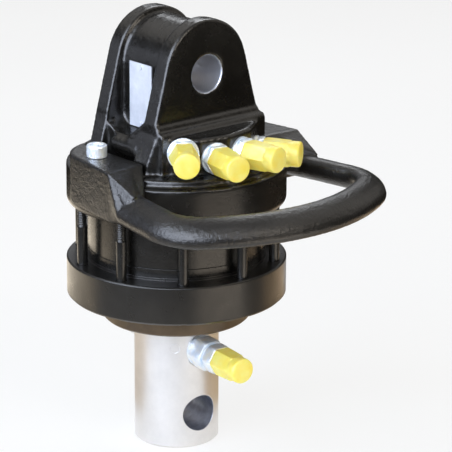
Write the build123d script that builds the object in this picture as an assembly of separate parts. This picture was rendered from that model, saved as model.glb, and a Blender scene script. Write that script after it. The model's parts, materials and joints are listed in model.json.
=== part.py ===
from build123d import *
import os
from math import acos, atan2, cos, hypot, pi, radians, sin, sqrt, tan

# Hydraulic grapple rotator in millimetres. The origin is the centre of the hanger's pin bore,
# on the rotation axis. +Z is up along that axis, the pin lies along Y, and the ports face -Y.

# Hanger ears
ear_outer_y = 37.5
ear_thickness = 15.0
ear_radius = 40.8
ear_rise = 2.6
ear_slope = 15.2
ear_foot_z = -34.7
ear_edge_radius = 2.0
ear_inner_edge_radius = 1.2
pin_bore_diameter = 30.0
bore_chamfer = 1.0
web_inset = 4.8

# Ledge and name bar under the ears
ledge_width = 2.5
bar_top_z = -38.6
bar_outer_y = 45.0
bar_stand_out = 3.2
bar_round = 4.0

# Port block, four facets under the bar
facet_distance = 64.0
facet_pitch = 23.5
block_top_z = -43.0
block_round = 3.0
flank_half_width = 51.8
back_half_width = 46.0
pocket_floor_z = -46.0
pocket_drop = 4.0
pocket_reach = 70.0
pocket_round = 12.0
relief_half_width = 52.0
relief_top_y = -4.0
relief_top_z = -46.5
relief_low_y = -19.0
relief_low_z = -57.0
nub_radius = 7.5
nub_drop = 10.5
nub_inset = 1.0
nub_back_y = 13.0
nub_round = 3.0

# Top disc and its raised land
disc_rim = 7.6
disc_top_z = -77.5
disc_bottom_z = -109.0
disc_top_round = 1.0
disc_bottom_round = 3.5
land_inset = 7.5
land_top_z = -72.0
land_edge_z = -74.5
land_edge_width = 0.7

# Stator ring, lower plate and base ring
stator_height = 37.5
cam_gap = 0.6
cam_lift = 7.4
o_ring_section = 2.4
o_ring_corner = 0.6
o_ring_inset = 3.5
dowel_step = 5.0
dowel_wall = 3.5
plate_stand_out = 0.5
lower_plate_thickness = 7.1
seat_height = 2.4
base_rim = 8.15
base_height = 31.6
base_round = 2.0
base_chamfer = 1.0
neck_radius = 60.0
neck_height = 19.6
neck_round = 1.5

# Tie bolts and dowels
tie_bolt_count = 10
tie_bolt_offset = 8.6
tie_bolt_start = -90.0
tie_bolt_shank = 8.4
tie_bolt_thread = 7.6
tie_bolt_thread_length = 28.0
tie_bolt_grip = 14.0
tie_bolt_head_diameter = 13.0
tie_bolt_head_height = 8.0
tie_bolt_sink = 9.0
dowel_diameter = 4.0
dowel_turn = 9.0
dowel_length = 58.0

# Shaft
shaft_diameter = 69.0
shaft_end_z = -313.0
shaft_chamfer = 1.5
shaft_turn = -5.0
shaft_bore_diameter = 30.0
shaft_bore_z = -284.3
journal_diameter = 54.0
journal_lip = 2.3
collar_inset = 2.0
collar_thickness = 8.0
spline_count = 16
spline_rise = 0.5
spline_depth = 2.5
spline_width = 5.6
shaft_port_z = -230.0
shaft_plug_z = -226.0
shaft_plug_turn = -37.0
shaft_plug_diameter = 8.0
shaft_plug_depth = 5.0
spot_face_depth = 2.0
spot_face_diameter = 27.0

# Oil passages
groove_width = 5.0
groove_depth = 2.5
passage_diameter = 7.0
passage_offset = 12.0
passage_overrun = 3.0
passage_plug_length = 3.0
chamber_passage_step = 4.0

# Rotor and vanes
rotor_radius = 52.0
vane_count = 6
vane_thickness = 4.0
vane_length = 12.0
slot_depth = 16.0
vane_stand_out = 0.2
vane_spring_thickness = 0.6
vane_spring_width = 3.6
vane_spring_end_gap = 3.0

# Bearings and seals
race_gap = 3.5
race_width = 14.0
race_thickness = 2.0
roller_diameter = 4.0
roller_margin = 2.5
roller_count = 20
cage_thickness = 2.6
cage_rim = 1.2
recess_room = 3.0
thrust_washer_thickness = 1.3
thrust_washer_inset = 1.0
upper_bush_wall = 4.0
upper_bush_length = 30.0
lower_bush_wall = 3.5
lower_bush_length = 22.0
swivel_seal_depth = 3.0
swivel_seal_height = 3.5
swivel_seal_spacing = 5.8
shaft_seal_width = 9.5
shaft_seal_height = 5.0
shaft_seal_wall = 1.5
wiper_height = 2.0

# Port fittings
port_left_z = -54.3
port_middle_z = -60.0
port_right_z = -65.8
port_thread_diameter = 16.0
port_thread_length = 12.0
port_hole_depth = 15.0
port_spot_diameter = 27.0
port_spot_reach = 40.0
washer_outer_diameter = 25.0
washer_thickness = 2.0
adapter_hex = 22.0
adapter_hex_length = 6.0
adapter_stem_diameter = 17.0
adapter_stem_length = 24.0
adapter_bore = 9.0
cap_hex = 22.5
cap_hex_length = 15.0
cap_end_diameter = 20.5
cap_length = 29.5
hex_bevel = 1.2
shaft_body_hex = 24.0
shaft_body_length = 16.0
shaft_body_neck = 2.0
shaft_body_neck_diameter = 19.0
shaft_second_hex_length = 10.5

# Hose guard
boss_top_z = -62.2
boss_bottom_z = -102.0
boss_front_reach = 10.0
boss_front_outer_y = -36.0
boss_front_inner_y = -34.0
boss_side_reach = 1.5
boss_side_back_y = 21.0
boss_back_inset = 8.0
boss_back_middle_y = 34.0
boss_back_inner_y = 43.4
boss_foot_gap = 0.8
boss_flank_gap = 0.55
boss_bar_gap = 0.8
boss_chamfer = 1.0
ramp_root_z = -90.0
ramp_corner = 0.8
bow_z = -88.5
bow_long = 27.7
bow_short = 17.7
bow_tilt = 35.5
bow_section_stops = (-125, -40, 30, 140, 190)
bow_start_reach = 3.3
bow_start_y = -56.0
bow_corner_inset = 24.9
bow_corner_y = -106.0
bow_corner_radius = 36.2
bow_front_radius = 153.0
guard_screw_inset = 11.5
guard_screw_y = 5.0
guard_screw_diameter = 10.0
guard_screw_hole = 11.0
guard_screw_head_diameter = 16.0
guard_screw_head_height = 10.0
guard_screw_socket = 8.0
guard_screw_socket_depth = 5.0
guard_screw_engagement = 22.0

# Blank plate on the web
plate_width = 27.0
plate_top_z = 7.0
plate_bottom_z = -45.0
plate_thickness = 0.8
rivet_diameter = 2.4
rivet_head_diameter = 4.0
rivet_head_height = 1.0
rivet_length = 5.0
rivet_edge = 3.2

# Clearances
running_fit = 0.05
screw_clearance = 0.3
turning_gap = 0.1
free_gap = 0.3
thread_fit = 0.1
screw_hole_spare = 2.0

# Radii that follow from the sizes above
full_turn = 360.0
web_radius = ear_radius - web_inset
ear_inner_y = ear_outer_y - ear_thickness
shaft_radius = shaft_diameter / 2
journal_radius = journal_diameter / 2
spline_root_radius = journal_radius + spline_rise
spline_tip_radius = spline_root_radius + spline_depth
spot_face_radius = shaft_radius - spot_face_depth
race_inner_radius = shaft_radius + race_gap
race_outer_radius = race_inner_radius + race_width
roller_circle = race_inner_radius + race_width / 2
roller_length = race_width - 2 * roller_margin
recess_radius = race_outer_radius + recess_room
collar_radius = race_outer_radius - collar_inset
thrust_washer_outer = collar_radius - thrust_washer_inset
upper_bush_outer = journal_radius + upper_bush_wall
lower_bush_outer = shaft_radius + lower_bush_wall
shaft_seal_outer = shaft_radius + shaft_seal_width
cam_small_radius = rotor_radius + cam_gap
cam_large_radius = cam_small_radius + cam_lift
chamber_passage_radius = rotor_radius + chamber_passage_step
o_ring_radius = cam_large_radius + o_ring_inset
dowel_circle = o_ring_radius + dowel_step
stator_radius = dowel_circle + dowel_wall
seat_radius = stator_radius + plate_stand_out
tie_bolt_circle = stator_radius + tie_bolt_offset
disc_radius = tie_bolt_circle + disc_rim
base_radius = tie_bolt_circle + base_rim
land_radius = disc_radius - land_inset

# Places on the head and the guard
flank_spread = tan(radians(ear_slope))
bar_left_x = -flank_half_width
bar_right_x = flank_half_width + bar_stand_out
port_heights = (port_left_z, port_middle_z, port_middle_z, port_right_z)
boss_inner_x = flank_half_width + (ear_foot_z - land_top_z) * flank_spread + boss_flank_gap
boss_front_outer = (disc_radius + boss_front_reach, boss_front_outer_y)
boss_front_inner = (boss_inner_x, boss_front_inner_y)
boss_side_back = (disc_radius + boss_side_reach, boss_side_back_y)
boss_back_middle = (disc_radius - boss_back_inset, boss_back_middle_y)
boss_back_inner = (bar_right_x + boss_bar_gap, boss_back_inner_y)
boss_inner_step = (boss_inner_x, ear_outer_y + boss_foot_gap)
bow_start = (disc_radius + bow_start_reach, bow_start_y)
bow_corner_centre = (disc_radius - bow_corner_inset, bow_corner_y)
guard_screw_at = (disc_radius - guard_screw_inset, guard_screw_y)

# Levels that follow from the sizes above
journal_top_z = port_left_z + groove_width / 2 + journal_lip
stator_bottom_z = disc_bottom_z - stator_height
plate_bottom = stator_bottom_z - lower_plate_thickness
base_top_z = plate_bottom - seat_height
base_bottom_z = base_top_z - base_height
neck_bottom_z = base_bottom_z - neck_height
collar_top_z = plate_bottom - thrust_washer_thickness - turning_gap
collar_bottom_z = collar_top_z - collar_thickness
recess_floor_z = collar_bottom_z - roller_diameter - 2 * race_thickness
tie_bolt_hole = tie_bolt_shank + 2 * screw_clearance
dowel_hole = dowel_diameter + 2 * running_fit
rivet_hole = rivet_diameter + 2 * running_fit
tie_bolt_head_z = base_bottom_z + tie_bolt_sink
tie_bolt_shoulder_z = disc_bottom_z + tie_bolt_grip - tie_bolt_thread_length


def cylinder_between(radius, bottom, top, centre=(0, 0)):
    """Upright cylinder from one level to another."""
    height = top - bottom
    middle = (bottom + top) / 2
    return Pos(centre[0], centre[1], middle) * Cylinder(radius, height)


def ring_between(outer, inner, bottom, top):
    """Upright ring from one level to another."""
    return cylinder_between(outer, bottom, top) - cylinder_between(inner, bottom - 1, top + 1)


def plan_prism(points, bottom, top):
    """Prism over a closed outline of straight edges."""
    face = make_face(Polyline(*points, close=True))
    return Pos(0, 0, bottom) * extrude(face, top - bottom)


def turned(profile):
    """Solid of revolution about the rotation axis from (radius, height) points."""
    points = [(r, 0, z) for r, z in profile]
    face = make_face(Polyline(*points, close=True))
    return revolve(face, Axis.Z)


def radial(turn, z, distance=0.0):
    """Plane across the radial direction at an angle from the front, facing outward."""
    angle = radians(turn - 90)
    out = (cos(angle), sin(angle), 0)
    origin = (out[0] * distance, out[1] * distance, z)
    side = (-sin(angle), cos(angle), 0)
    return Plane(origin=origin, x_dir=side, z_dir=out)


def on_plane(plane, radius, start, end):
    """Cylinder that stands on a plane's normal between two distances from it."""
    middle = (start + end) / 2
    return plane * Pos(0, 0, middle) * Cylinder(radius, end - start)


def hexagon(across_flats, start, end, bevel=0.0):
    """Hexagonal prism along Z, with its outer end's corners turned down."""
    body = Pos(0, 0, start) * extrude(RegularPolygon(across_flats / sqrt(3), 6), end - start)
    if bevel:
        cone_low = across_flats / sqrt(3) + bevel
        cone_top = across_flats / 2 - bevel / 2
        height = (cone_low - cone_top) * tan(radians(30))
        skirt = Pos(0, 0, start) * extrude(Circle(cone_low), end - start - height)
        turned_end = Pos(0, 0, end - height / 2) * Cone(cone_low, cone_top, height)
        body = body & (skirt + turned_end)
    return body


def bolt_angles():
    """Angles of the tie bolts."""
    return [tie_bolt_start + full_turn / tie_bolt_count * k for k in range(tie_bolt_count)]


def dowel_places():
    """Centres of the two dowels."""
    return [at_circle(dowel_circle, dowel_turn + half) for half in (0, full_turn / 2)]


def group(solids):
    """Separate solids of one node."""
    return Compound(children=[item for piece in solids for item in piece.solids()])


def at_circle(radius, angle):
    """Point on a circle about the axis."""
    return (radius * cos(radians(angle)), radius * sin(radians(angle)))


def ear_outline(radius, slope, foot_z):
    """Closed outline of an ear in X and Z: round top, straight sides that spread downward."""
    a = radians(slope)
    touch = (radius * cos(a), ear_rise + radius * sin(a))
    foot_x = touch[0] + (touch[1] - foot_z) * tan(a)
    top = ThreePointArc((touch[0], touch[1]), (0, ear_rise + radius), (-touch[0], touch[1]))
    sides = Polyline((-touch[0], touch[1]), (-foot_x, foot_z), (foot_x, foot_z), (touch[0], touch[1]))
    return make_face([top, sides])


def across_y(face, near, far):
    """Extrude an X-Z outline between two Y values."""
    return extrude(Plane(origin=(0, far, 0), x_dir=(1, 0, 0), z_dir=(0, -1, 0)) * face, far - near)


def facet_corners():
    """Corners of the port block's front, from left to right."""
    reach = facet_distance / cos(radians(facet_pitch / 2))
    turns = [radians(facet_pitch * k) for k in (-1, 0, 1)]
    return [(reach * sin(turn), -reach * cos(turn)) for turn in turns]


def flank_point(half_width):
    """Point where the outermost facet reaches a given half width."""
    turn = radians(1.5 * facet_pitch)
    return (half_width, -(facet_distance - half_width * sin(turn)) / cos(turn))


def port_turn(index):
    """Angle of a port from the front."""
    return (index - 1.5) * facet_pitch


def make_port_block():
    """Block with four facets, its flanks in line with the ears' spreading sides down to the disc."""
    wide = flank_half_width + (ear_foot_z - disc_top_z) * flank_spread
    right = flank_point(wide)
    outline = [(-right[0], right[1])] + facet_corners() + [right]
    outline += [(wide, ear_outer_y), (back_half_width, ear_outer_y), (back_half_width, bar_outer_y)]
    outline += [(-back_half_width, bar_outer_y), (-back_half_width, ear_outer_y), (-wide, ear_outer_y)]
    block = plan_prism(outline, disc_top_z, block_top_z)
    rim = block.faces().sort_by(Axis.Z)[-1].edges().filter_by(lambda e: e.center().Y < -bar_outer_y)
    block = fillet(rim, block_round)
    top_width = flank_half_width + (ear_foot_z - block_top_z) * flank_spread
    flank = make_face(Polyline((-wide, disc_top_z), (wide, disc_top_z), (top_width, block_top_z),
                               (-top_width, block_top_z), close=True))
    block = block & across_y(flank, -pocket_reach, bar_outer_y)
    for way in (-1, 1):
        block = block - make_relief(way) + make_nub(way)
    return block


def make_relief(way):
    """Space between the two feet on one flank, with a slanted edge on the front foot."""
    slant = [(relief_top_y, ear_foot_z), (relief_top_y, relief_top_z), (relief_low_y, relief_low_z)]
    outline = Polyline(*slant, (relief_low_y, disc_top_z), (ear_inner_y, disc_top_z),
                       (ear_inner_y, ear_foot_z), close=True)
    side = Plane(origin=(way * relief_half_width, 0, 0), x_dir=(0, 1, 0), z_dir=(1, 0, 0))
    return extrude(side * make_face(outline), way * pocket_reach)


def make_nub(way):
    """Cast nub in the relief, a short round bar along Y with a rounded back end."""
    length = nub_back_y - relief_low_y
    nub = fillet(Cylinder(nub_radius, length).edges().sort_by(Axis.Z)[-1], nub_round)
    middle = (way * (relief_half_width - nub_inset), nub_back_y - length / 2, relief_top_z - nub_drop)
    return Plane(origin=middle, x_dir=(1, 0, 0), z_dir=(0, 1, 0)) * nub


def make_head_blank():
    """The casting before machining."""
    ear = ear_outline(ear_radius, ear_slope, ear_foot_z)
    plate = across_y(ear, ear_inner_y, ear_outer_y)
    plate = fillet(plate.edges().filter_by(lambda e: e.center().Z > ear_foot_z + 1
                                           and e.center().Y > ear_outer_y - 1), ear_edge_radius)
    plate = fillet(plate.edges().filter_by(lambda e: e.center().Z > ear_foot_z + 1
                                           and e.center().Y < ear_inner_y + ear_inner_edge_radius / 2),
                   ear_inner_edge_radius)
    web = across_y(ear_outline(web_radius, 0, ear_foot_z), 1 - ear_outer_y, ear_outer_y - 1)
    ledge_y = ear_outer_y + ledge_width
    ledge = block_between((-flank_half_width, -ledge_y, disc_top_z), (flank_half_width, 0, ear_foot_z))
    ledge += block_between((-back_half_width, 0, disc_top_z), (back_half_width, ledge_y, ear_foot_z))
    bar = rounded_bar((bar_left_x, -bar_outer_y, disc_top_z), (bar_right_x, 0, bar_top_z))
    bar += rounded_bar((-back_half_width, 0, disc_top_z), (back_half_width, bar_outer_y, bar_top_z))
    base = ledge + bar + make_port_block()
    for way in (-1, 1):
        base -= make_pocket(way)
    return plate + mirror(plate, Plane.XZ) + web + base + make_disc()


def make_pocket(way):
    """Pocket between the ears on one side of the web, rounded where its floor meets the ears."""
    outline = make_face(Polyline((way * web_radius, pocket_floor_z), (way * web_radius, ear_radius),
                                 (way * pocket_reach, ear_radius),
                                 (way * pocket_reach, pocket_floor_z - pocket_drop), close=True))
    pocket = across_y(outline, -ear_inner_y, ear_inner_y)
    floor_edges = pocket.edges().filter_by(lambda e: e.center().Z < pocket_floor_z
                                           and abs(e.center().Y) > ear_inner_y - 1)
    return fillet(floor_edges, pocket_round)


def make_disc():
    """Top disc with its raised land."""
    disc = cylinder_between(disc_radius, disc_bottom_z, disc_top_z)
    disc = fillet(disc.edges().filter_by(GeomType.CIRCLE).sort_by(Axis.Z)[0], disc_bottom_round)
    disc = fillet(disc.edges().filter_by(GeomType.CIRCLE).sort_by(Axis.Z)[-1], disc_top_round)
    land = turned([(0, disc_bottom_z), (land_radius - disc_bottom_round, disc_bottom_z),
                   (land_radius, disc_bottom_z + disc_bottom_round), (land_radius, land_edge_z),
                   (land_radius - land_edge_width, land_top_z), (0, land_top_z)])
    return disc + land


def block_between(low, high):
    """Box from its lowest corner to its highest."""
    size = [high[k] - low[k] for k in range(3)]
    middle = [(high[k] + low[k]) / 2 for k in range(3)]
    return Pos(*middle) * Box(*size)


def rounded_bar(low, high):
    """Half of the name bar, its outer upper edge rounded."""
    bar = block_between(low, high)
    edge = bar.edges().filter_by(Axis.X).filter_by(lambda e: e.center().Z > high[2] - 1)
    edge = edge.filter_by(lambda e: abs(e.center().Y) > bar_outer_y - 1)
    return fillet(edge, bar_round)


def make_head_casting():
    """Hanger, port block and top disc in one casting, machined for the pin, ports and shaft."""
    head = make_head_blank()
    across = Plane(origin=(0, 0, 0), x_dir=(1, 0, 0), z_dir=(0, -1, 0))
    head -= on_plane(across, pin_bore_diameter / 2, -bar_outer_y, bar_outer_y)
    for way in (-1, 1):
        mouth = Plane(origin=(0, way * ear_outer_y, 0), x_dir=(1, 0, 0), z_dir=(0, way, 0))
        wide = pin_bore_diameter / 2 + bore_chamfer
        head -= mouth * Pos(0, 0, -bore_chamfer / 2) * Cone(pin_bore_diameter / 2, wide, bore_chamfer)
    swivel_top = journal_top_z + 2 * turning_gap
    head -= cylinder_between(journal_radius + running_fit, disc_bottom_z - 1, swivel_top)
    head -= cylinder_between(upper_bush_outer, disc_bottom_z - 1, disc_bottom_z + upper_bush_length)
    for seal_z in swivel_seal_levels():
        head -= cylinder_between(journal_radius + swivel_seal_depth, seal_z - swivel_seal_height / 2,
                                 seal_z + swivel_seal_height / 2)
    for index, height in enumerate(port_heights):
        plane = radial(port_turn(index), height, facet_distance)
        head -= on_plane(plane, port_spot_diameter / 2, 0, port_spot_reach)
        head -= on_plane(plane, port_thread_diameter / 2 + thread_fit, -port_hole_depth, 1)
        if index in (0, len(port_heights) - 1):
            inward = journal_radius - facet_distance
            head -= on_plane(plane, passage_diameter / 2, inward, 1 - port_hole_depth)
        else:
            foot = at_circle(chamber_passage_radius, port_turn(index) - 90)
            head -= cylinder_between(passage_diameter / 2, disc_bottom_z - 1, height, foot)
    for angle in bolt_angles():
        place = at_circle(tie_bolt_circle, angle)
        head -= cylinder_between(tie_bolt_thread / 2 + thread_fit, disc_bottom_z - 1,
                                 disc_bottom_z + tie_bolt_grip + screw_hole_spare, place)
    for way in (-1, 1):
        place = (way * guard_screw_at[0], guard_screw_at[1])
        hole_bottom = land_top_z - guard_screw_engagement - screw_hole_spare
        head -= cylinder_between(guard_screw_diameter / 2 + thread_fit, hole_bottom, land_top_z + 1, place)
    for place in dowel_places():
        head -= cylinder_between(dowel_hole / 2, disc_bottom_z - 1, dowel_top_z(), place)
    return head


def dowel_top_z():
    """Level of the dowels' top, with the dowels centred on the stator."""
    return (disc_bottom_z + stator_bottom_z) / 2 + dowel_length / 2


def swivel_seal_levels():
    """Levels of the two swivel seals, each below its oil groove."""
    return [port_heights[0] - swivel_seal_spacing, port_heights[-1] - swivel_seal_spacing]


def tangent_point(start, centre, radius):
    """Point where a line from start touches a circle on its outer side."""
    run = (start[0] - centre[0], start[1] - centre[1])
    reach = hypot(*run)
    angle = atan2(run[1], run[0]) - acos(radius / reach)
    return (centre[0] + radius * cos(angle), centre[1] + radius * sin(angle))


def bow_geometry():
    """Points of the right half of the bow's centreline."""
    centre = bow_corner_centre
    touch = tangent_point(bow_start, centre, bow_corner_radius)
    front_centre_y = centre[1] + sqrt((bow_front_radius - bow_corner_radius) ** 2 - centre[0] ** 2)
    reach = bow_front_radius / (bow_front_radius - bow_corner_radius)
    join = (centre[0] * reach, front_centre_y + (centre[1] - front_centre_y) * reach)
    start_angle = atan2(touch[1] - centre[1], touch[0] - centre[0])
    end_angle = atan2(join[1] - centre[1], join[0] - centre[0])
    middle_angle = (start_angle + end_angle) / 2
    middle = (centre[0] + bow_corner_radius * cos(middle_angle),
              centre[1] + bow_corner_radius * sin(middle_angle))
    return touch, middle, join, front_centre_y - bow_front_radius


def section_plane(point, towards):
    """Plane across the right arm of the bow at a point, its X axis pointing outward."""
    run = (towards[0] - point[0], towards[1] - point[1])
    return Plane(origin=(point[0], point[1], bow_z), x_dir=(-run[1], run[0], 0), z_dir=(run[0], run[1], 0))


def oval_face(plane):
    """Tilted oval section of the bow, in arcs that meet where the ramp's edges run out."""
    stops = bow_section_stops + (bow_section_stops[0] + full_turn,)
    arcs = [EllipticalCenterArc((0, 0), bow_long / 2, bow_short / 2, start, arc_size=end - start)
            for start, end in zip(stops, stops[1:])]
    return plane * Rot(0, 0, -bow_tilt) * make_face(arcs)


def make_bow():
    """Bow of the guard: one tilted oval section swept along a flat path of lines and arcs."""
    touch, middle, join, front_y = bow_geometry()
    right = [(x, y, bow_z) for x, y in (bow_start, touch, middle, join)]
    left = [(-x, y, z) for x, y, z in right]
    path = Wire([Line(right[0], right[1]), ThreePointArc(*right[1:]),
                 ThreePointArc(right[3], (0, front_y, bow_z), left[3]),
                 ThreePointArc(left[3], left[2], left[1]), Line(left[1], left[0])])
    return sweep(oval_face(section_plane(bow_start, touch)), path)


def make_boss_blank():
    """Right boss of the guard before it is cut to fit over the disc."""
    side = Polyline(boss_side_back, boss_front_outer, boss_front_inner, boss_inner_step, boss_back_inner)
    back = ThreePointArc(boss_back_inner, boss_back_middle, boss_side_back)
    outline = make_face([side, back])
    boss = Pos(0, 0, boss_bottom_z) * extrude(outline, boss_top_z - boss_bottom_z)
    return chamfer(boss.faces().sort_by(Axis.Z)[0].edges(), boss_chamfer)


def make_ramp():
    """Right ramp from the boss's front face down into the bow's arm."""
    run = (boss_front_outer[0] - boss_front_inner[0], boss_front_outer[1] - boss_front_inner[1])
    root = Plane(origin=(boss_front_inner[0], boss_front_inner[1], 0), x_dir=(run[0], run[1], 0),
                 z_dir=(run[1], -run[0], 0))
    width = hypot(*run)
    wall = make_face(Polyline((0, ramp_root_z), (width, boss_bottom_z), (width, boss_top_z - ramp_corner),
                              (width - ramp_corner, boss_top_z), (0, boss_top_z), close=True))
    return loft([root * wall, oval_face(section_plane(bow_start, bow_geometry()[0]))])


def make_hose_guard():
    """Guard in one casting: two bosses, two ramps and the bow, cut to sit over the disc."""
    half = make_boss_blank() + make_ramp()
    guard = half + mirror(half, Plane.YZ) + make_bow()
    guard -= cylinder_between(disc_radius + free_gap, boss_bottom_z - 1, disc_top_z + free_gap)
    guard -= cylinder_between(land_radius + free_gap, boss_bottom_z - 1, land_top_z)
    for way in (-1, 1):
        place = (way * guard_screw_at[0], guard_screw_at[1])
        guard -= cylinder_between(guard_screw_hole / 2, boss_bottom_z, boss_top_z + 1, place)
    return guard


def make_guard_screws():
    """Two socket screws that hold the guard down on the disc."""
    screws = []
    for way in (-1, 1):
        place = (way * guard_screw_at[0], guard_screw_at[1])
        head_top = boss_top_z + guard_screw_head_height
        screw = cylinder_between(guard_screw_head_diameter / 2, boss_top_z, head_top, place)
        tip = land_top_z - guard_screw_engagement
        screw += cylinder_between(guard_screw_diameter / 2, tip, boss_top_z, place)
        socket = hexagon(guard_screw_socket, head_top - guard_screw_socket_depth, head_top + 1)
        screws.append(screw - Pos(place[0], place[1], 0) * socket)
    return group(screws)


def cam_outline():
    """Closed two-lobed outline inside the stator ring."""
    mean = (cam_large_radius + cam_small_radius) / 2
    swing = (cam_large_radius - cam_small_radius) / 2
    steps = 24
    points = []
    for k in range(steps):
        angle = 2 * pi * k / steps
        reach = mean + swing * cos(2 * angle)
        points.append((reach * cos(angle), reach * sin(angle)))
    return make_face(Spline(*points, periodic=True))


def make_stator_ring():
    """Ring with the two-lobed cam, O-ring grooves in both faces and holes for the dowels."""
    ring = cylinder_between(stator_radius, stator_bottom_z, disc_bottom_z)
    ring -= Pos(0, 0, stator_bottom_z - 1) * extrude(cam_outline(), stator_height + 2)
    for bottom in (stator_bottom_z, disc_bottom_z - o_ring_section):
        half = o_ring_section / 2 + thread_fit
        ring -= ring_between(o_ring_radius + half, o_ring_radius - half, bottom, bottom + o_ring_section)
    for place in dowel_places():
        ring -= cylinder_between(dowel_hole / 2, stator_bottom_z - 1, disc_bottom_z + 1, place)
    return ring


def make_o_rings():
    """One O-ring in each face of the stator ring, squeezed flat on all four sides of its groove."""
    half = o_ring_section / 2
    flat = half - o_ring_corner
    corners = [(flat, half), (half, flat), (half, -flat), (flat, -half)]
    corners += [(-x, -y) for x, y in corners]
    rings = []
    for level in (stator_bottom_z + half, disc_bottom_z - half):
        rings.append(turned([(o_ring_radius + x, level + y) for x, y in corners]))
    return group(rings)


def make_lower_plate():
    """Plate that closes the vane chamber from below."""
    plate = ring_between(seat_radius, shaft_radius + free_gap, plate_bottom, stator_bottom_z)
    for place in dowel_places():
        plate -= cylinder_between(dowel_hole / 2, plate_bottom - 1, stator_bottom_z + 1, place)
    return plate


def make_base_ring():
    """Base ring and neck in one casting, bored for the bearing, the lower bush and the seals."""
    rim = base_top_z - base_chamfer
    ring = turned([(0, plate_bottom), (seat_radius, plate_bottom), (seat_radius, base_top_z),
                   (base_radius - base_chamfer, base_top_z), (base_radius, rim),
                   (base_radius, base_bottom_z + base_round), (base_radius - base_round, base_bottom_z),
                   (neck_radius, base_bottom_z), (neck_radius, neck_bottom_z + neck_round),
                   (neck_radius - neck_round, neck_bottom_z), (0, neck_bottom_z)])
    ring -= cylinder_between(recess_radius, recess_floor_z, plate_bottom + 1)
    ring -= cylinder_between(shaft_radius + free_gap, neck_bottom_z - 1, plate_bottom)
    ring -= cylinder_between(lower_bush_outer, recess_floor_z - lower_bush_length, recess_floor_z + 1)
    ring -= cylinder_between(shaft_seal_outer, neck_bottom_z - 1, seal_top_z())
    for angle in bolt_angles():
        place = at_circle(tie_bolt_circle, angle)
        ring -= cylinder_between(tie_bolt_hole / 2, base_bottom_z - 1, base_top_z + 1, place)
        ring -= cylinder_between(tie_bolt_head_diameter / 2 + screw_clearance, base_bottom_z - 1,
                                 tie_bolt_head_z, place)
    for place in dowel_places():
        ring -= cylinder_between(dowel_hole / 2, dowel_top_z() - dowel_length, plate_bottom + 1, place)
    return ring


def seal_top_z():
    """Level of the top of the seal pocket in the neck."""
    return neck_bottom_z + wiper_height + shaft_seal_height


def make_tie_bolts():
    """Long socket bolts, from the counterbores under the base ring up into the disc."""
    bolts = []
    for angle in bolt_angles():
        place = at_circle(tie_bolt_circle, angle)
        bolt = cylinder_between(tie_bolt_head_diameter / 2, tie_bolt_head_z - tie_bolt_head_height,
                                tie_bolt_head_z, place)
        bolt += cylinder_between(tie_bolt_shank / 2, tie_bolt_head_z, tie_bolt_shoulder_z, place)
        tip = disc_bottom_z + tie_bolt_grip
        bolt += cylinder_between(tie_bolt_thread / 2, tie_bolt_shoulder_z, tip, place)
        bolts.append(bolt)
    return group(bolts)


def make_dowel_pins():
    """Two pins that line up the disc, the stator ring, the plate and the base ring."""
    return group([cylinder_between(dowel_diameter / 2, dowel_top_z() - dowel_length, dowel_top_z(), place)
                  for place in dowel_places()])


def spline_outline(clearance):
    """Outline of the shaft's splines, grown by a clearance."""
    outline = Circle(spline_root_radius + clearance)
    depth = spline_tip_radius + clearance
    tooth = Pos(depth / 2, 0) * Rectangle(depth, spline_width + 2 * clearance)
    for k in range(spline_count):
        outline += Rot(0, 0, full_turn / spline_count * k) * tooth
    return outline & Circle(depth)


def make_shaft():
    """Shaft with its journal, splines, thrust collar, oil passages, ports and pin bore."""
    shoulder = stator_bottom_z + turning_gap
    shaft = turned([(0, journal_top_z), (journal_radius, journal_top_z), (journal_radius, shoulder),
                    (shaft_radius, shoulder), (shaft_radius, collar_top_z), (collar_radius, collar_top_z),
                    (collar_radius, collar_bottom_z), (shaft_radius, collar_bottom_z),
                    (shaft_radius, shaft_end_z + shaft_chamfer),
                    (shaft_radius - shaft_chamfer, shaft_end_z), (0, shaft_end_z)])
    shaft += Pos(0, 0, shoulder) * extrude(spline_outline(0), disc_bottom_z - turning_gap - shoulder)
    for index, turn in ((0, shaft_turn), (-1, shaft_turn + full_turn / 2)):
        level = port_heights[index]
        shaft -= ring_between(journal_radius + 1, journal_radius - groove_depth, level - groove_width / 2,
                              level + groove_width / 2)
        shaft -= on_plane(radial(turn, level), passage_diameter / 2, passage_offset, journal_radius + 1)
        foot = at_circle(passage_offset, turn - 90)
        bottom = shaft_port_z - passage_overrun
        shaft -= cylinder_between(passage_diameter / 2, bottom, journal_top_z + 1, foot)
        port = radial(turn, shaft_port_z, spot_face_radius)
        shaft -= on_plane(port, spot_face_diameter / 2, 0, shaft_radius)
        shaft -= on_plane(port, port_thread_diameter / 2 + thread_fit, -port_hole_depth, 1)
        shaft -= on_plane(port, passage_diameter / 2, passage_offset - spot_face_radius, 0)
        plug = radial(turn + shaft_plug_turn, shaft_plug_z, shaft_radius)
        shaft -= on_plane(plug, shaft_plug_diameter / 2, -shaft_plug_depth, shaft_radius)
    across = radial(shaft_turn, shaft_bore_z)
    shaft -= on_plane(across, shaft_bore_diameter / 2, -shaft_diameter, shaft_diameter)
    return shaft


def make_shaft_side_plugs():
    """Two plugs, flush in the shaft beside its ports."""
    plugs = []
    for turn in (shaft_turn, shaft_turn + full_turn / 2):
        plane = radial(turn + shaft_plug_turn, shaft_plug_z, shaft_radius)
        plug = on_plane(plane, shaft_plug_diameter / 2 - running_fit, -shaft_plug_depth, 1)
        plugs.append(plug & cylinder_between(shaft_radius, shaft_end_z, journal_top_z))
    return group(plugs)


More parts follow.
